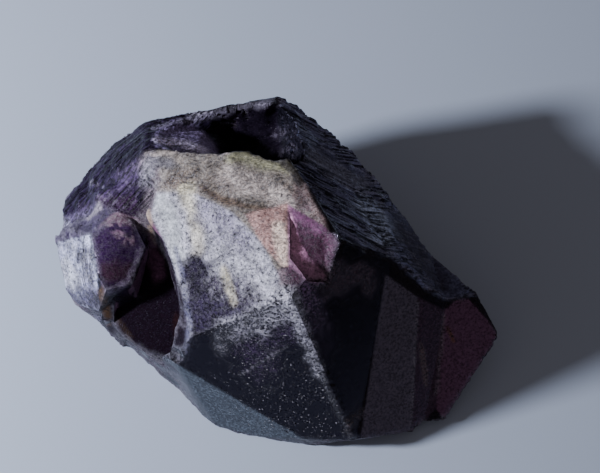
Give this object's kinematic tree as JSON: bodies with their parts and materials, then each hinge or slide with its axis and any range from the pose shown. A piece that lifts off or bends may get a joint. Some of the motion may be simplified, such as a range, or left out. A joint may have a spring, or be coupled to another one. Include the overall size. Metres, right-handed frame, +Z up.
{
  "type": "amethyst point",
  "caption": "Loose natural amethyst crystal lying on its side, with a raised pale slab, smooth tip faces, a striated side, a broken hollow and a small crystal grown on one end.",
  "frame": {"origin": "middle of the outline seen from above, on the surface that the crystal rests on", "axes": "+X along the crystal's length towards the clear violet end, +Y towards the broken hollow, +Z up from the surface"},
  "size_m": [0.0886, 0.0638, 0.0398],
  "materials": {
    "amethyst": "see-through violet crystal with glossy faces, frosted white wear along the ridges and fibrous pale patches"
  },
  "bodies": {
    "root": {"amethyst_point": "amethyst"}
  },
  "joints": []
}
